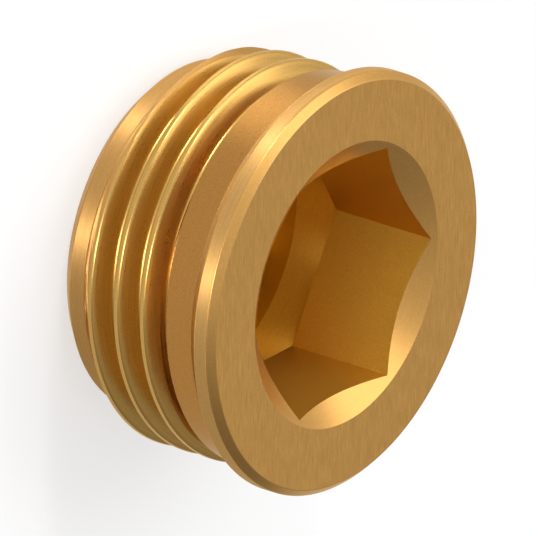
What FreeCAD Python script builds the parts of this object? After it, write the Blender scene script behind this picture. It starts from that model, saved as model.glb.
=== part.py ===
import FreeCAD, Part
import math
import os

# End plug for a manifold: one turned piece of brass with a pipe thread and a hexagon key socket.
# The plug stands on its flat rear end, which is Z = 0. Its axis is +Z, and the socket opens upwards.
# All lengths are millimetres and all angles degrees.

# Outer form
overall_length = 9.0
collar_diameter = 17.7
collar_land = 0.6
face_chamfer = 0.3
neck_diameter = 16.4
neck_start_below_face = 3.0
pilot_diameter = 14.6
pilot_length = 1.26
pilot_chamfer = 0.53

# Parallel pipe thread of Whitworth form, nominal size 3/8
thread_major_diameter = 16.64
thread_pitch = 1.337
thread_form_angle = 55.0
thread_crest_corner_width = 0.23
thread_depth = 0.85
thread_crest_radius = 0.155
thread_crest_break_angle = 15.0
# A crest of the thread lies on this azimuth at this height.
crest_azimuth = 151.2
crest_height = 3.57

# The thread runs out in the neck: the tool passes this azimuth, then leaves over the run-out turn.
runout_azimuth = 251.0
runout_turn = 0.22
relief_width = 0.5
relief_diameter = 14.8

# Key socket: countersink, hexagon with two corners on the X axis, and the recess behind it
countersink_diameter = 12.0
countersink_slope = 32.0
key_across_flats = 10.0
key_depth = 5.0
recess_diameter = 11.6
recess_depth = 7.05

# Working clearances of the cutting shapes, which leave no mark on the plug
tool_overrun = 0.3
crest_overrun = 0.004

collar_radius = collar_diameter / 2
neck_radius = neck_diameter / 2
pilot_radius = pilot_diameter / 2
major_radius = thread_major_diameter / 2


def ring_point(radius, height):
    return FreeCAD.Vector(radius, 0, height)


def revolve(outline):
    wire = Part.makePolygon(outline + [outline[0]])
    return Part.Face(wire).revolve(FreeCAD.Vector(0, 0, 0), FreeCAD.Vector(0, 0, 1), 360)


def make_blank():
    """The turned outside before threading: pilot, lead-in, thread land, relief, neck and head."""
    face = overall_length
    land_top = face - face_chamfer
    land_bottom = land_top - collar_land
    neck_top = land_bottom - (collar_radius - neck_radius)
    neck_bottom = face - neck_start_below_face
    lead_in_top = pilot_length + (major_radius - pilot_radius)
    outline = [
        ring_point(0, 0),
        ring_point(pilot_radius - pilot_chamfer, 0),
        ring_point(pilot_radius, pilot_chamfer),
        ring_point(pilot_radius, pilot_length),
        ring_point(major_radius, lead_in_top),
        ring_point(major_radius, neck_bottom - relief_width),
        ring_point(relief_diameter / 2, neck_bottom - relief_width),
        ring_point(relief_diameter / 2, neck_bottom),
        ring_point(neck_radius, neck_bottom),
        ring_point(neck_radius, neck_top),
        ring_point(collar_radius, land_bottom),
        ring_point(collar_radius, land_top),
        ring_point(collar_radius - face_chamfer, face),
        ring_point(0, face),
    ]
    return revolve(outline)


def groove_profile():
    """Section of one thread groove in the XZ plane, with its centre at height 0.

    From the crest inwards it has a rounded crest edge, a straight flank and a rounded root.
    """
    half_angle = math.radians(thread_form_angle / 2)
    half_turn = math.radians(90) - half_angle
    corner = (thread_pitch - thread_crest_corner_width) / 2
    crest_tangent = thread_crest_radius * math.tan(half_turn / 2)
    root_corner = corner - thread_depth * math.tan(half_angle)
    root_radius = root_corner / math.tan(half_turn / 2)

    crest_centre_x = major_radius - thread_crest_radius
    crest_centre_z = corner + crest_tangent
    root_centre_x = major_radius - thread_depth + root_radius

    def on_crest(turn):
        x = crest_centre_x + thread_crest_radius * math.cos(turn)
        return x, crest_centre_z - thread_crest_radius * math.sin(turn)

    def on_root(turn):
        x = root_centre_x - root_radius * math.cos(turn)
        return x, root_radius * math.sin(turn)

    break_angle = math.radians(thread_crest_break_angle)
    crest_start = on_crest(break_angle)
    rise = major_radius + crest_overrun - crest_start[0]
    lip = (major_radius + crest_overrun, crest_start[1] + rise / math.tan(break_angle))
    outer = (major_radius + tool_overrun, lip[1])
    crest_middle = on_crest((break_angle + half_turn) / 2)
    crest_end = on_crest(half_turn)
    root_end = on_root(half_turn)
    root_middle = on_root(half_turn / 2)
    root_bottom = on_root(0)

    def upper(point):
        return ring_point(point[0], point[1])

    def lower(point):
        return ring_point(point[0], -point[1])

    edges = [
        Part.LineSegment(upper(outer), upper(lip)).toShape(),
        Part.LineSegment(upper(lip), upper(crest_start)).toShape(),
        Part.Arc(upper(crest_start), upper(crest_middle), upper(crest_end)).toShape(),
        Part.LineSegment(upper(crest_end), upper(root_end)).toShape(),
        Part.Arc(upper(root_end), upper(root_middle), upper(root_bottom)).toShape(),
        Part.Arc(lower(root_bottom), lower(root_middle), lower(root_end)).toShape(),
        Part.LineSegment(lower(root_end), lower(crest_end)).toShape(),
        Part.Arc(lower(crest_end), lower(crest_middle), lower(crest_start)).toShape(),
        Part.LineSegment(lower(crest_start), lower(lip)).toShape(),
        Part.LineSegment(lower(lip), lower(outer)).toShape(),
        Part.LineSegment(lower(outer), upper(outer)).toShape(),
    ]
    return Part.Wire(edges)


def sweep_turns(turns, azimuth, height, widening=0):
    """One solid of the groove, which starts at this azimuth and height and climbs for these turns.

    With a widening angle the spine is a cone, so the groove rises out of the metal as it goes.
    """
    spine = Part.makeHelix(thread_pitch, turns * thread_pitch, major_radius, widening)
    pipe = Part.BRepOffsetAPI.MakePipeShell(Part.Wire(spine))
    pipe.setBiNormalMode(FreeCAD.Vector(0, 0, 1))
    pipe.add(groove_profile())
    pipe.build()
    pipe.makeSolid()
    solid = pipe.shape()
    solid.rotate(FreeCAD.Vector(0, 0, 0), FreeCAD.Vector(0, 0, 1), azimuth)
    solid.translate(FreeCAD.Vector(0, 0, height))
    return solid


def make_thread_cutters():
    """The right-hand groove in half turns from the neck down to the pilot, and its run-out."""
    runout_height = crest_height + 1.5 * thread_pitch
    runout_height += thread_pitch * (runout_azimuth - crest_azimuth) / 360
    cutters = []
    azimuth = runout_azimuth
    height = runout_height
    while height + thread_pitch / 2 > pilot_length:
        azimuth -= 180
        height -= thread_pitch / 2
        cutters.append(sweep_turns(1 / 2, azimuth, height))

    rise = runout_turn * thread_pitch
    widening = math.degrees(math.atan2(thread_depth + tool_overrun, rise))
    cutters.append(sweep_turns(runout_turn, runout_azimuth, runout_height, widening))
    return cutters


def make_socket():
    """The countersink, the hexagon for the key and the round recess behind the hexagon."""
    face = overall_length
    rim = countersink_diameter / 2
    slope = math.tan(math.radians(countersink_slope))
    countersink = Part.makeCone(0, rim + tool_overrun, (rim + tool_overrun) * slope)
    countersink.translate(FreeCAD.Vector(0, 0, face - rim * slope))

    corner_radius = key_across_flats / 2 / math.cos(math.radians(30))
    corners = []
    for index in range(6):
        angle = math.radians(60 * index)
        corners.append(FreeCAD.Vector(corner_radius * math.cos(angle), corner_radius * math.sin(angle), 0))
    hexagon = Part.Face(Part.makePolygon(corners + [corners[0]]))
    hexagon = hexagon.extrude(FreeCAD.Vector(0, 0, key_depth))
    hexagon.translate(FreeCAD.Vector(0, 0, face - key_depth))

    recess = Part.makeCylinder(recess_diameter / 2, recess_depth - key_depth)
    recess.translate(FreeCAD.Vector(0, 0, face - recess_depth))
    return hexagon.fuse(recess).fuse(countersink)


plug = make_blank()
for cutter in make_thread_cutters():
    plug = plug.cut(cutter)
plug = plug.cut(make_socket())

os.makedirs("parts", exist_ok=True)
plug.exportStep("parts/plug_body.step")
print("solids", len(plug.Solids), "valid", plug.isValid(), "volume mm3", round(plug.Volume, 2))
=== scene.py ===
# %% [markdown]
# # A brass end plug for a manifold
# The real plug is one turned piece: a thin head, a smooth neck, three and a half turns of pipe thread,
# a plain pilot and a hexagon socket for the key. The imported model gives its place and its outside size.
# Here it is made again with a finer skin, with tool marks in the metal, and lit as in a small studio.

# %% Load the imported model
import math

import bmesh
import bpy
from mathutils import Matrix, Vector


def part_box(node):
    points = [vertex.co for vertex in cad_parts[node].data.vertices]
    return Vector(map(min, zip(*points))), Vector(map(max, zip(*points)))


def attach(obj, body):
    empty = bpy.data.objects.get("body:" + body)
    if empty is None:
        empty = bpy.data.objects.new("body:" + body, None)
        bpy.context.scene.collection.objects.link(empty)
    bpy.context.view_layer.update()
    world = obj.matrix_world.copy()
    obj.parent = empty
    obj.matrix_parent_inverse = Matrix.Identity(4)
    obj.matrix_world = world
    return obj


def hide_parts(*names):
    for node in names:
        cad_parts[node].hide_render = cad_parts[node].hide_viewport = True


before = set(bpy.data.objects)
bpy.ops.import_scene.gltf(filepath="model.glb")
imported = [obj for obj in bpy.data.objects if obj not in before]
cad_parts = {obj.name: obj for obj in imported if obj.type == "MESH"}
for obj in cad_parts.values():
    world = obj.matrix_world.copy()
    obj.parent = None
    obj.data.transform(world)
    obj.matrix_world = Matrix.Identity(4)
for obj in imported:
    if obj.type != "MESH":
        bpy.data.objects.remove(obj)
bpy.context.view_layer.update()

MM = 0.001
low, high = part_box("plug_body")
print("CAD box in mm:", [round((b - a) / MM, 3) for a, b in zip(low, high)])

# %% [markdown]
# ## Sizes
# The head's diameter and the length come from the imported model. The other sizes are those of the turned
# part, in millimetres as on its drawing, with Z = 0 at the flat rear end and the axis along +Z.

# %% Sizes of the outside
collar_radius = (high[0] - low[0]) / 2 / MM
face = (high[2] - low[2]) / MM
collar_land = 0.6
face_chamfer = 0.3
neck_radius = 8.2
neck_bottom = face - 3.0
relief_radius = 7.4
relief_width = 0.5
pilot_radius = 7.3
pilot_length = 1.26
pilot_chamfer = 0.53

land_top = face - face_chamfer
land_bottom = land_top - collar_land
neck_top = land_bottom - (collar_radius - neck_radius)
print("collar radius:", round(collar_radius, 3), "length:", round(face, 3))

# %% Sizes of the thread and of the socket
major_radius = 8.32
thread_pitch = 1.337
thread_half_angle = math.radians(27.5)
thread_depth = 0.85
crest_corner_width = 0.23
crest_azimuth = math.radians(151.2)
crest_height = 3.57
runout_azimuth = math.radians(251.0)
runout_turn = 0.22
lead_in_top = pilot_length + major_radius - pilot_radius

countersink_radius = 6.0
countersink_slope = math.tan(math.radians(32.0))
key_half_width = 5.0
key_depth = 5.0
recess_radius = 5.8
recess_depth = 7.05
print("turns of thread:", round((neck_bottom - pilot_length) / thread_pitch, 1))

# %% [markdown]
# ## The outline
# A lathe turns an outline around an axis, so the outline comes first: a chain of points from the middle of
# the rear end, up the outside, over the face and down the socket to its bottom.
#
# Each point also carries what the later steps ask: whether the thread may cut it, how far it takes the
# hexagon's shape instead of a circle, how far its height follows the countersink's cone, and its zone, which
# chooses its finish. A polygon drawn by hand could hold the points, but a list of stations says what each
# one is for.

# %% A station of the outline
TURNED, SATIN, NECK, THREAD, FACE, CONE, SOCKET, CHAMBER = range(8)


class Station:
    """One point of the outline: radius and height, and its shares in the thread, hexagon and cone."""

    def __init__(self, radius, height, zone=TURNED, cut=0.0, hexagon=0.0, cone=0.0):
        self.radius, self.height, self.zone = radius, height, zone
        self.cut, self.hexagon, self.cone = cut, hexagon, cone


# %% [markdown]
# ## Small roundings
# Real edges are never perfectly sharp, and their tiny rounding is what catches the light. So the corners of
# the head, the neck's top and the pilot's chamfer get a small arc. A support point on each side of the arc
# keeps the smooth shading off the flat beside it.
# A Bevel modifier could do the same on the finished mesh, but it would also round the thread's fine steps.

# %% A chain of corners with their roundings
ARC_POINTS = 3
SUPPORT_SHARE = 1.6
SHARP, HEAD_EDGE, REAR_EDGE, SOFT_EDGE = 0, 0.05, 0.06, 0.08


def rounded_chain(corners):
    """Points of a chain of (radius, height, rounding) corners, with an arc and its supports at each rounded
    one.
    """
    points = [Vector(corners[0][:2])]
    for before, corner, after in zip(corners, corners[1:], corners[2:]):
        here = Vector(corner[:2])
        rounding = corner[2]
        if rounding == SHARP:
            points.append(here)
            continue
        into = (here - Vector(before[:2])).normalized()
        out = (Vector(after[:2]) - here).normalized()
        turn = into.angle(out)
        reach = rounding * math.tan(turn / 2)
        support = SUPPORT_SHARE * reach
        side = math.copysign(1, into.x * out.y - into.y * out.x)
        inward = Vector((-into.y, into.x)) * side
        centre = here - into * reach + inward * rounding
        points.append(here - into * support)
        for index in range(ARC_POINTS + 1):
            angle = side * turn * index / ARC_POINTS
            spoke = Matrix.Rotation(angle, 2) @ (-inward * rounding)
            points.append(centre + spoke)
        points.append(here + out * support)
    points.append(Vector(corners[-1][:2]))
    return points


outside = rounded_chain([
    (0, 0, SHARP),
    (pilot_radius - pilot_chamfer, 0, REAR_EDGE),
    (pilot_radius, pilot_chamfer, SOFT_EDGE),
    (pilot_radius, pilot_length, SHARP),
    (major_radius, lead_in_top, SHARP),
    (major_radius, neck_bottom - relief_width, SHARP),
    (relief_radius, neck_bottom - relief_width, SHARP),
    (relief_radius, neck_bottom, SHARP),
    (neck_radius, neck_bottom, SHARP),
    (neck_radius, neck_top, SOFT_EDGE),
    (collar_radius, land_bottom, HEAD_EDGE),
    (collar_radius, land_top, HEAD_EDGE),
    (collar_radius - face_chamfer, face, HEAD_EDGE),
    (countersink_radius, face, SHARP),
])
print("outside points:", len(outside))

# %% [markdown]
# ## A finish for each stretch
# The finish changes where the tool changed: turned collar, pilot and relief, satin chamfers, a neck, a
# thread and a brushed face. The height and the direction of a stretch tell which one it is.

# %% The finish of a stretch of the outside
SAME = 0.001
BEVEL_MARGIN = 0.1


def is_threaded(start, end):
    """Whether the thread's groove may reach this stretch."""
    return pilot_length - SAME < min(start.y, end.y) and max(start.y, end.y) < neck_top


def outside_zone(start, end):
    """The zone of this stretch."""
    if min(start.y, end.y) > face - SAME:
        return FACE
    if is_threaded(start, end):
        if end.y < neck_bottom - relief_width + SAME and start.x > relief_radius:
            return THREAD
        return TURNED if end.y < neck_bottom + SAME else NECK
    upright = abs(end.x - start.x) < SAME
    under_head = neck_top - BEVEL_MARGIN < start.y < land_bottom
    return TURNED if upright or under_head else SATIN


# %% [markdown]
# ## Close points where the thread is cut
# The thread's shape is read from the height of the outline's points, so the threaded stretch needs them
# close together, and two wide flat rings need a few for good faces. Elsewhere two points do.

# %% Stations of the outside
FINE_STEP = 0.026
WIDE_RING = 1.0
RING_STEPS = 3

stations = [Station(*outside[0])]
for start, end in zip(outside, outside[1:]):
    threaded = is_threaded(start, end)
    steps = max(1, math.ceil(abs(end.y - start.y) / FINE_STEP)) if threaded else 1
    if start.y == end.y and abs(end.x - start.x) > WIDE_RING:
        steps = RING_STEPS
    for step in range(1, steps + 1):
        point = start.lerp(end, step / steps)
        stations.append(Station(*point, zone=outside_zone(start, end), cut=float(threaded)))
print("stations of the outside:", len(stations))

# %% [markdown]
# ## The socket's part of the outline
# Inside, the chain goes down the countersink to the hexagon, down the flats, out to the round recess that
# the broach needs for its chips, and over its floor to the axis. The countersink's cone and the flats meet
# in six arcs. They come out by themselves when a point's height on the cone follows from its radius.

# %% Stations of the socket
CONE_STEPS, FLAT_STEPS = 5, 6

for step in range(1, CONE_STEPS + 1):
    stations.append(Station(countersink_radius, face, CONE, hexagon=step / CONE_STEPS, cone=1.0))
for step in range(1, FLAT_STEPS + 1):
    stations.append(Station(0, face - key_depth, SOCKET, hexagon=1.0, cone=1 - step / FLAT_STEPS))
stations.append(Station(recess_radius, face - key_depth, CHAMBER))
stations.append(Station(recess_radius, face - recess_depth, CHAMBER))
stations.append(Station(0, face - recess_depth, CHAMBER))

# %% The outline as a mesh with attributes
outline = bpy.data.meshes.new("plug_outline")
outline.from_pydata([(s.radius * MM, 0, s.height * MM) for s in stations], [], [])
for name in ("cut", "hexagon", "cone", "zone"):
    layer = outline.attributes.new(name, "FLOAT", "POINT")
    layer.data.foreach_set("value", [float(getattr(s, name)) for s in stations])
print("outline points:", len(stations))

# %% [markdown]
# ## Sums in a node tree
# The thread is a rule, so it can be worked out by Geometry Nodes: for each point of the skin, how far is it
# from the nearest groove, and how deep is the groove there? Long sums are hard to read as single nodes. This
# small helper lets them be written as sums in Python, and it lays one Math node for each sign.

# %% A helper that writes sums as nodes
class Sum:
    """A number in a node tree. Each sign or function lays a Math node and returns its result."""

    def __init__(self, tree, socket):
        self.tree, self.socket = tree, socket

    def apply(self, operation, *others):
        node = self.tree.nodes.new("ShaderNodeMath")
        node.operation = operation
        for index, value in enumerate((self,) + others):
            if isinstance(value, Sum):
                self.tree.links.new(value.socket, node.inputs[index])
            else:
                node.inputs[index].default_value = value
        return Sum(self.tree, node.outputs[0])

    def __add__(self, other):
        return self.apply("ADD", other)

    def __sub__(self, other):
        return self.apply("SUBTRACT", other)

    def __mul__(self, other):
        return self.apply("MULTIPLY", other)

    def __truediv__(self, other):
        return self.apply("DIVIDE", other)


# %% A helper that lays any node
def add_node(tree, kind, links=(), **settings):
    """A node of this kind with its settings. Its inputs get a link or a value, by index or by name."""
    made = tree.nodes.new(kind)
    for key, value in settings.items():
        setattr(made, key, value)
    for key, source in dict(links).items():
        if isinstance(source, Sum):
            source = source.socket
        if isinstance(source, bpy.types.NodeSocket):
            tree.links.new(source, made.inputs[key])
        else:
            made.inputs[key].default_value = source
    return made


# %% [markdown]
# ## The lathe with a thread
# The tree takes the outline and makes a grid: one column for each small angle and one row for each outline
# point. Each point of the grid looks up its outline point, and four short rules bend it into place:
# 1. the thread's groove: a V of 55 degrees with a soft root and a soft crest, that climbs one pitch a turn;
# 2. its run-out, where the tool backs out of the metal over a fifth of a turn;
# 3. the hexagon, whose radius changes with the angle between two corners;
# 4. the countersink's cone.
#
# A boolean cut of a swept groove would give the same form, but with long thin faces that shade badly.

# %% The tree and its named inputs
tree = bpy.data.node_groups.new("threaded_lathe", "GeometryNodeTree")
tree.interface.new_socket("Geometry", in_out="INPUT", socket_type="NodeSocketGeometry")
tree.interface.new_socket("Geometry", in_out="OUTPUT", socket_type="NodeSocketGeometry")
named_inputs = {
    "Columns": 300,
    "Outline Points": len(stations),
    "Pitch": thread_pitch * MM,
    "Major Radius": major_radius * MM,
    "Thread Depth": thread_depth * MM,
    "Flank Slope": 1 / math.tan(thread_half_angle),
    "Crest Corner Width": crest_corner_width * MM,
    "Root Softness": 0.213 * MM,
    "Crest Softness": 0.185 * MM,
    "Edge Softness": 0.05 * MM,
    "Groove Height": (crest_height - thread_pitch / 2) * MM,
    "Groove Azimuth": crest_azimuth,
    "Last Turn": 2 + (runout_azimuth - crest_azimuth) / math.tau,
    "Run-out Turn": runout_turn,
    "Run-out Lift": 1.4,
    "Key Half Width": key_half_width * MM,
    "Countersink Slope": countersink_slope,
    "Face Height": face * MM,
    "Countersink Radius": countersink_radius * MM,
}
for name, value in named_inputs.items():
    kind = "NodeSocketInt" if isinstance(value, int) else "NodeSocketFloat"
    socket = tree.interface.new_socket(name, in_out="INPUT", socket_type=kind)
    socket.default_value = value

entry = tree.nodes.new("NodeGroupInput")
size = {name: Sum(tree, entry.outputs[name]) for name in named_inputs}
print("named inputs:", len(named_inputs))

# %% The grid, and the row and column of each point
grid = add_node(tree, "GeometryNodeMeshGrid", {
    "Vertices X": size["Columns"] + 1, "Vertices Y": size["Outline Points"],
})
index = Sum(tree, add_node(tree, "GeometryNodeInputIndex").outputs[0])
row = index.apply("MODULO", size["Outline Points"])
column = (index / size["Outline Points"]).apply("FLOOR")
azimuth = column / size["Columns"] * math.tau


# %% Look up the outline point of each grid point
def looked_up(name, row_index):
    """The outline's value of this name, read at the given row."""
    named = add_node(tree, "GeometryNodeInputNamedAttribute", {"Name": name}, data_type="FLOAT")
    sample = add_node(tree, "GeometryNodeSampleIndex", {
        "Geometry": entry.outputs["Geometry"], "Value": named.outputs[0], "Index": row_index,
    }, data_type="FLOAT", domain="POINT")
    return Sum(tree, sample.outputs[0])


on_outline = add_node(tree, "GeometryNodeInputPosition").outputs[0]
place = add_node(tree, "GeometryNodeSampleIndex", {
    "Geometry": entry.outputs["Geometry"], "Value": on_outline, "Index": row,
}, data_type="FLOAT_VECTOR", domain="POINT")
split = add_node(tree, "ShaderNodeSeparateXYZ", {0: place.outputs[0]})
radius, height = Sum(tree, split.outputs["X"]), Sum(tree, split.outputs["Z"])

# %% [markdown]
# ## Four rules
# The groove is the distance from its middle, turned into a depth by the slope of the flank. Smooth Maximum
# rounds the root and Smooth Minimum the crest, as the tool and the deburring do. The run-out lifts the
# groove little by little. The hexagon's radius is its half width divided by a cosine, and the cone's height
# follows from the radius that has come out by then.

# %% Rules 1 and 2: the groove and its run-out
turns_here = (azimuth - size["Groove Azimuth"]) / math.tau
turns_up = (height - size["Groove Height"]) / size["Pitch"] - turns_here
nearest = turns_up.apply("ROUND")
off_centre = (turns_up - nearest) * size["Pitch"]
corner = (size["Pitch"] - size["Crest Corner Width"]) / 2
flank = size["Major Radius"] - (corner - off_centre.apply("ABSOLUTE")) * size["Flank Slope"]
root_radius = size["Major Radius"] - size["Thread Depth"]
rooted = flank.apply("SMOOTH_MAX", root_radius, size["Root Softness"])
groove = rooted.apply("SMOOTH_MIN", size["Major Radius"], size["Crest Softness"])

past_end = (nearest + turns_here - size["Last Turn"]) / size["Run-out Turn"]
share_out = past_end.apply("MAXIMUM", 0.0).apply("MINIMUM", 1.0)
lift = share_out * (size["Thread Depth"] * size["Run-out Lift"])
cut_radius = radius.apply("SMOOTH_MIN", groove + lift, size["Edge Softness"])
radius_cut = radius + (cut_radius - radius) * looked_up("cut", row)

# %% Rules 3 and 4: the hexagon and the cone
SIXTH = math.tau / 6
from_flat = azimuth.apply("MODULO", SIXTH) - SIXTH / 2
hexagon_radius = size["Key Half Width"] / from_flat.apply("COSINE")
final_radius = radius_cut + (hexagon_radius - radius_cut) * looked_up("hexagon", row)
cone_height = size["Face Height"] - (size["Countersink Radius"] - final_radius) * size["Countersink Slope"]
final_height = height + (cone_height - height) * looked_up("cone", row)

# %% [markdown]
# ## Close the skin and note what the finishes need
# The placed grid gets a UV map, whose U runs around the axis, and the distance from the middle of the
# groove, along which the thread's tool marks run. The grid's first and last columns meet, and so do the
# points of each pole, and Merge by Distance makes one closed skin of them. The skin is shaded smooth, and
# edges that turn by more than 30 degrees, such as the hexagon's corners, stay sharp.

# %% Place the points, note the zones and the tool's path, close the skin
MERGE_DISTANCE = 0.0008 * MM

position = add_node(tree, "ShaderNodeCombineXYZ", {
    "X": final_radius * azimuth.apply("COSINE"),
    "Y": final_radius * azimuth.apply("SINE"),
    "Z": final_height,
})
placed = add_node(tree, "GeometryNodeSetPosition", {
    "Geometry": grid.outputs["Mesh"], "Position": position.outputs[0],
})
unrolled = add_node(tree, "ShaderNodeCombineXYZ", {
    "X": column / size["Columns"], "Y": row / size["Outline Points"],
})
with_uv = add_node(tree, "GeometryNodeStoreNamedAttribute", {
    "Geometry": placed.outputs[0], "Name": "UVMap", "Value": unrolled.outputs[0],
}, data_type="FLOAT2", domain="CORNER")
with_path = add_node(tree, "GeometryNodeStoreNamedAttribute", {
    "Geometry": with_uv.outputs[0], "Name": "tool_path", "Value": off_centre / MM,
}, data_type="FLOAT", domain="POINT")
face_row = index.apply("MODULO", size["Outline Points"] - 1) + 1
with_zone = add_node(tree, "GeometryNodeStoreNamedAttribute", {
    "Geometry": with_path.outputs[0], "Name": "zone", "Value": looked_up("zone", face_row),
}, data_type="FLOAT", domain="FACE")
merged = add_node(tree, "GeometryNodeMergeByDistance", {
    "Geometry": with_zone.outputs[0], "Distance": MERGE_DISTANCE,
})

# %% Smooth shading with sharp edges kept sharp
SHARP_ANGLE = math.radians(30)

edge_angle = add_node(tree, "GeometryNodeInputMeshEdgeAngle").outputs[0]
smooth_faces = add_node(tree, "GeometryNodeSetShadeSmooth", {"Geometry": merged.outputs[0]}, domain="FACE")
is_sharp = add_node(tree, "FunctionNodeCompare", {0: edge_angle, 1: SHARP_ANGLE}, operation="GREATER_THAN")
smooth_edges = add_node(tree, "GeometryNodeSetShadeSmooth", {
    "Geometry": smooth_faces.outputs[0], "Selection": is_sharp.outputs[0], "Shade Smooth": False,
}, domain="EDGE")
realized = add_node(tree, "GeometryNodeRealizeInstances", {"Geometry": smooth_edges.outputs[0]})
print("nodes of the lathe:", len(tree.nodes))

# %% [markdown]
# ## Brass
# The plug is one piece of brass, but each tool leaves a finish of its own. Fine turning rings on the collar
# and the pilot draw their gleam out along the axis. The neck and the chamfers are plain satin, the face is
# brushed, the thread's marks follow its helix, and the broach leaves the flats of the socket rough. The
# neck's brass is darker, as painted shade under the head, and the socket's is lighter, as painted light.
#
# An image of scratches could make these finishes, but it would need a picture and a seam. Here they are
# noise on object coordinates: long thin marks and a slight grain, which change the tone and the roughness
# a little and give a very small bump. One function makes all eight, so they stay one metal.

# %% Tones of the brass
SKIN_BRASS = (0.5, 0.27, 0.076)
LIGHT_BRASS = (0.57, 0.325, 0.105)
# Darker than the skin brass: painted shade on the neck, under the head.
NECK_BRASS_PAINTED_SHADE = (0.365, 0.172, 0.042)
THREAD_BRASS = (0.5, 0.295, 0.08)
# Lighter than the skin brass: painted light inside the socket, where little lamp light reaches.
CUT_BRASS_PAINTED_LIGHT = (0.66, 0.385, 0.055)
EDGE_TINT = (1.0, 0.9, 0.7, 1.0)

# %% Marks of a tool, and the grain of the metal
GRAIN_SCALE = 16000.0


def tool_marks(shader, marks, follow):
    """Noise on object coordinates, stretched by the three scales in marks: a small scale is a long mark.

    Where follow names an attribute, that takes the place of Z, so the marks run along the thread.
    """
    way = add_node(shader, "ShaderNodeTexCoord").outputs["Object"]
    if follow:
        parts = add_node(shader, "ShaderNodeSeparateXYZ", {0: way})
        path = add_node(shader, "ShaderNodeAttribute", attribute_name=follow)
        way = add_node(shader, "ShaderNodeCombineXYZ", {
            "X": parts.outputs["X"], "Y": parts.outputs["Y"], "Z": path.outputs["Fac"],
        }).outputs[0]
    mapping = add_node(shader, "ShaderNodeMapping", {"Vector": way, "Scale": marks})
    return add_node(shader, "ShaderNodeTexNoise", {
        "Vector": mapping.outputs[0], "Scale": 1.0, "Detail": 3.0, "Roughness": 0.65,
    }).outputs[0]


def metal_grain(shader):
    """Fine even noise, as satin metal shows it in the light."""
    where = add_node(shader, "ShaderNodeTexCoord").outputs["Object"]
    return add_node(shader, "ShaderNodeTexNoise", {
        "Vector": where, "Scale": GRAIN_SCALE, "Detail": 1.0, "Roughness": 0.5,
    }).outputs[0]


# %% Tone from noise, and a gleam drawn out along the axis
NOISE_LOW, NOISE_HIGH = 0.32, 0.68
QUARTER_TURN = 0.25


def toned(shader, noise, base, tone):
    """The base colour, darker by this share where the noise is low, and lighter where it is high."""
    ramp = add_node(shader, "ShaderNodeValToRGB", {"Fac": noise})
    dark, light = ramp.color_ramp.elements
    dark.position, light.position = NOISE_LOW, NOISE_HIGH
    dark.color = [part * (1 - tone) for part in base] + [1]
    light.color = [part * (1 + tone) for part in base] + [1]
    return ramp.outputs[0]


def smear_gleam(shader, brass, amount):
    """Draws the gleam out across fine rings that run around the axis, as the UV map's U does."""
    tangent = add_node(shader, "ShaderNodeTangent", direction_type="UV_MAP", uv_map="UVMap")
    shader.links.new(tangent.outputs[0], brass.inputs["Tangent"])
    brass.inputs["Anisotropic"].default_value = amount
    brass.inputs["Anisotropic Rotation"].default_value = QUARTER_TURN


# %% Satin brass with tool marks
ROUGHNESS_SWING = 0.04
BUMP_DISTANCE = 0.01 * MM


def satin_brass(name, base, marks, roughness, tone=0.16, grain=0.4, bump=0.25, smear=0.0, follow=None):
    """Satin brass. Its tone, roughness and bump follow tool marks and, by the share grain, a fine grain."""
    material = bpy.data.materials.new(name)
    material.use_nodes = True
    shader = material.node_tree
    brass = shader.nodes["Principled BSDF"]
    brass.inputs["Metallic"].default_value = 1.0
    brass.inputs["Specular Tint"].default_value = EDGE_TINT
    noise = add_node(shader, "ShaderNodeMix", {
        "Factor": grain, "A": tool_marks(shader, marks, follow), "B": metal_grain(shader),
    }, data_type="FLOAT").outputs[0]
    shine = add_node(shader, "ShaderNodeMapRange", {
        "Value": noise, "From Min": NOISE_LOW, "From Max": NOISE_HIGH,
        "To Min": roughness - ROUGHNESS_SWING, "To Max": roughness + ROUGHNESS_SWING,
    })
    relief = add_node(shader, "ShaderNodeBump", {
        "Height": noise, "Strength": bump, "Distance": BUMP_DISTANCE,
    })
    if smear:
        smear_gleam(shader, brass, smear)
    shader.links.new(toned(shader, noise, base, tone), brass.inputs["Base Color"])
    shader.links.new(shine.outputs[0], brass.inputs["Roughness"])
    shader.links.new(relief.outputs[0], brass.inputs["Normal"])
    return material


# %% [markdown]
# ## Eight finishes
# A finish is its tone, the stretch of its marks, its roughness and how strong its marks show. Rings around
# the axis are long in X and Y and close together in Z. On the face the marks run one way, as a belt leaves
# them. On the thread the third scale counts along the groove's section, in millimetres.

# %% The finishes
AROUND = (200, 200, 9000)
ALONG_THREAD = (250, 250, 22)
ONE_WAY = (12000, 1200, 1200)
DOWN_THE_FLATS = (9000, 9000, 3000)

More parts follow.
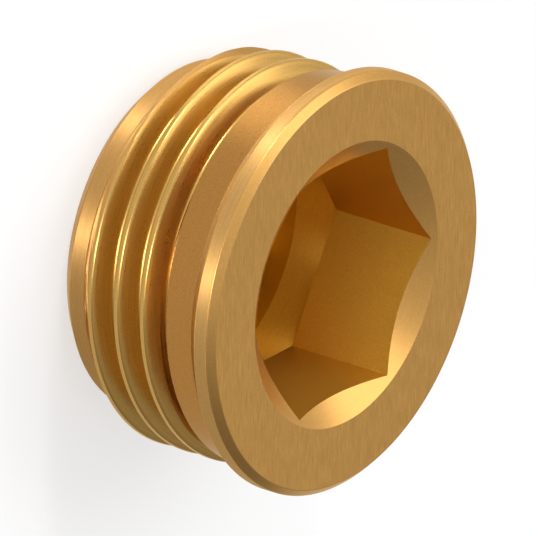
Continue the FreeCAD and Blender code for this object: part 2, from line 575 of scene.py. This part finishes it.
finishes = {
    TURNED: satin_brass("turned_brass", LIGHT_BRASS, AROUND, 0.5, smear=0.9),
    SATIN: satin_brass("satin_brass", SKIN_BRASS, AROUND, 0.33, tone=0.08, grain=0.7, bump=0.08),
    # The neck's darker brass is painted shade under the head.
    NECK: satin_brass("neck_brass_painted_shade", NECK_BRASS_PAINTED_SHADE, AROUND, 0.3, tone=0.08, grain=0.75, bump=0.03),
    THREAD: satin_brass("thread_brass", THREAD_BRASS, ALONG_THREAD, 0.3, tone=0.12, grain=0.3, bump=0.04,
                        follow="tool_path"),
    FACE: satin_brass("brushed_face_brass", SKIN_BRASS, ONE_WAY, 0.4, tone=0.18, grain=0.35),
    CONE: satin_brass("countersink_brass", SKIN_BRASS, AROUND, 0.33, tone=0.08, grain=0.7, bump=0.05),
    # The socket's flats and chamber take the lighter brass, which is painted light inside the socket.
    SOCKET: satin_brass("broached_socket_brass_painted_light", CUT_BRASS_PAINTED_LIGHT, DOWN_THE_FLATS, 0.42, tone=0.08, grain=0.8,
                        bump=0.05, smear=0.6),
    CHAMBER: satin_brass("chamber_brass_painted_light", CUT_BRASS_PAINTED_LIGHT, AROUND, 0.45, tone=0.1, grain=0.7, bump=0.05,
                         smear=0.85),
}
print("finishes:", [material.name for material in finishes.values()])

# %% Give each zone its material
ZONE_MARGIN = 0.1

zone_here = add_node(tree, "GeometryNodeInputNamedAttribute", {"Name": "zone"}, data_type="FLOAT").outputs[0]
skin = realized.outputs[0]
for zone, material in finishes.items():
    matches = add_node(tree, "FunctionNodeCompare", {
        0: zone_here, 1: float(zone), "Epsilon": ZONE_MARGIN,
    }, operation="EQUAL")
    skin = add_node(tree, "GeometryNodeSetMaterial", {
        "Geometry": skin, "Selection": matches.outputs[0], "Material": material,
    }).outputs[0]
add_node(tree, "NodeGroupOutput", {0: skin})

# %% [markdown]
# ## From the tree to a plain mesh
# The outline gets the tree as a modifier, its inputs are set by their identifiers, and the evaluated result
# becomes a plain mesh that needs no modifier. Then it is measured: a closed skin has no open edge, and its
# volume is above zero only if its faces point outwards.

# %% Run the tree
maker = bpy.data.objects.new("plug_outline", outline)
bpy.context.scene.collection.objects.link(maker)
modifier = maker.modifiers.new("threaded_lathe", "NODES")
modifier.node_group = tree
for socket in tree.interface.items_tree:
    if socket.item_type == "SOCKET" and socket.in_out == "INPUT" and socket.name in named_inputs:
        modifier[socket.identifier] = named_inputs[socket.name]

evaluated = maker.evaluated_get(bpy.context.evaluated_depsgraph_get())
skin_mesh = bpy.data.meshes.new_from_object(evaluated)
bpy.data.objects.remove(maker)
# The first slot is the grid's own. It is empty, and no face uses it.
skin_mesh.materials.pop(index=0)
plug = bpy.data.objects.new("threaded_plug", skin_mesh)
bpy.context.scene.collection.objects.link(plug)
print("skin faces:", len(skin_mesh.polygons), "finishes:", [m.name for m in skin_mesh.materials])

# %% Measure the skin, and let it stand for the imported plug
check = bmesh.new()
check.from_mesh(skin_mesh)
open_edges = sum(not edge.is_manifold for edge in check.edges)
print("volume in mm3:", round(check.calc_volume(signed=True) / MM ** 3, 1), "open edges:", open_edges)
check.free()

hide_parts("plug_body")
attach(plug, "root")

# %% [markdown]
# ## Camera
# The photograph is taken with a long lens from the side of the head, so an orthographic camera fits. Its
# picture's right and up are given as directions in the plug's frame. The plug's axis points to the right,
# and the picture's scale is the head's radius in millimetres and in pixels.

# %% Where the camera looks
PICTURE = 536
MIDDLE = PICTURE / 2
HEAD_RADIUS_PIXELS = 219.607
face_centre_column, face_centre_row = 346.293, 284.947
pixel = collar_radius / HEAD_RADIUS_PIXELS * MM

right = Vector((0.6141, 0, 0.7892)).normalized()
up = Vector((0.3149, 0.9173, -0.2438))
back = right.cross(up).normalized()
up = back.cross(right).normalized()
turned = Matrix((right, up, back)).transposed().to_4x4()
target = Vector((0, 0, face * MM))
target += right * (MIDDLE - face_centre_column) * pixel + up * (face_centre_row - MIDDLE) * pixel

# %% Camera
CAMERA_DISTANCE = 0.5

lens = bpy.data.cameras.new("camera")
lens.type = "ORTHO"
lens.ortho_scale = PICTURE * pixel
lens.clip_start, lens.clip_end = 0.001, 10
camera = bpy.data.objects.new("camera", lens)
camera.matrix_world = Matrix.Translation(target + back * CAMERA_DISTANCE) @ turned
bpy.context.scene.collection.objects.link(camera)
bpy.context.scene.camera = camera
print("picture width in mm:", round(lens.ortho_scale / MM, 2))

# %% [markdown]
# ## Floor
# The floor is pale and matt. More light would make it white, but it would bleach the brass too. So a share
# of its colour is a glow that lights nothing: only the camera, a reflection and glass can see it. The rest
# is lit by the lamps, and that keeps the plug's soft shadow.

# %% Paper for the floor
FLOOR_GLOW = 0.55
WHITE = (1, 1, 1, 1)
PALE = (0.75, 0.75, 0.75, 1)

paper = bpy.data.materials.new("paper_floor")
paper.use_nodes = True
sheet = paper.node_tree
sheet.nodes.clear()
matt = add_node(sheet, "ShaderNodeBsdfDiffuse", {"Color": PALE})
glow = add_node(sheet, "ShaderNodeEmission", {"Color": WHITE, "Strength": 1.0})
rays = add_node(sheet, "ShaderNodeLightPath")
direct = add_node(sheet, "ShaderNodeMath", {
    0: rays.outputs["Is Camera Ray"], 1: rays.outputs["Is Glossy Ray"],
}, operation="ADD")
seen = add_node(sheet, "ShaderNodeMath", {
    0: direct.outputs[0], 1: rays.outputs["Is Transmission Ray"],
}, operation="ADD", use_clamp=True)
share = add_node(sheet, "ShaderNodeMath", {0: seen.outputs[0], 1: FLOOR_GLOW}, operation="MULTIPLY")
mixed = add_node(sheet, "ShaderNodeMixShader", {
    0: share.outputs[0], 1: matt.outputs[0], 2: glow.outputs[0],
})
add_node(sheet, "ShaderNodeOutputMaterial", {0: mixed.outputs[0]})

# %% Floor
FLOOR_HALF = 0.6

corners = [(x * FLOOR_HALF, y * FLOOR_HALF, 0) for x, y in ((-1, -1), (1, -1), (1, 1), (-1, 1))]
floor_mesh = bpy.data.meshes.new("floor")
floor_mesh.from_pydata(corners, [], [(0, 1, 2, 3)])
floor_mesh.materials.append(paper)
floor = bpy.data.objects.new("floor", floor_mesh)
bpy.context.scene.collection.objects.link(floor)
print("floor's share of glow:", FLOOR_GLOW)

# %% [markdown]
# ## Sky and lamps
# Metal shows what stands around it, so each light is chosen by what mirrors it. The sky is brighter on one
# side, which gives the face, the cone and the chamfers a tone each. A soft box lights the lower part of the
# countersink and the upper edge of the head. Two tall narrow lamps draw the two gleams on the collar and
# the pilot. The neck mirrors the floor beside the plug, and there a small soft spot lamp brightens it.

# %% Sky
BRIGHT_SIDE = Vector((0.35, 0.85, 0.4)).normalized()

world = bpy.data.worlds.new("studio")
bpy.context.scene.world = world
world.use_nodes = True
sky = world.node_tree
toward = add_node(sky, "ShaderNodeTexCoord").outputs["Generated"]
tilt = add_node(sky, "ShaderNodeVectorMath", {0: toward, 1: BRIGHT_SIDE}, operation="DOT_PRODUCT")
fade = add_node(sky, "ShaderNodeMapRange", {
    "Value": tilt.outputs["Value"], "From Min": -0.9, "From Max": 0.6, "To Min": 0.15, "To Max": 1.05,
})
sky.links.new(fade.outputs[0], sky.nodes["Background"].inputs["Strength"])
sky.nodes["Background"].inputs["Color"].default_value = WHITE

# %% Soft box and strip lamps
LAMP_DISTANCE = 0.3
BOX = (0.3, 0.3)
STRIP = (0.05, 0.15)


def lamp(name, azimuth, elevation, oval, power):
    """An area lamp, oval in width and height, that shines at the plug from these angles in degrees."""
    light = bpy.data.lights.new(name, "AREA")
    light.shape = "ELLIPSE"
    light.size, light.size_y = oval
    light.energy = power
    turn, rise = math.radians(azimuth), math.radians(elevation)
    towards = Vector((math.cos(turn) * math.cos(rise), math.sin(turn) * math.cos(rise), math.sin(rise)))
    holder = bpy.data.objects.new(name, light)
    holder.location = Vector((0, 0, face * MM / 2)) + towards * LAMP_DISTANCE
    holder.rotation_euler = towards.to_track_quat("Z", "Y").to_euler()
    bpy.context.scene.collection.objects.link(holder)
    print(name, "of", power, "W")


lamp("soft_box", 45, 51, BOX, 0.46)
lamp("upper_strip", 94, 20, STRIP, 0.55)
lamp("side_strip", 168, 20, STRIP, 0.55)

# %% Spot lamp on the floor beside the neck
SPOT_PLACE = (2.5 * MM, 16 * MM, 100 * MM)

spot = bpy.data.lights.new("floor_lamp", "SPOT")
spot.energy = 1.7
spot.spot_size = math.radians(8)
spot.spot_blend = 1.0
spot.shadow_soft_size = 2 * MM
spot_holder = bpy.data.objects.new("floor_lamp", spot)
spot_holder.location = SPOT_PLACE
bpy.context.scene.collection.objects.link(spot_holder)

bpy.context.scene.view_settings.view_transform = "Standard"
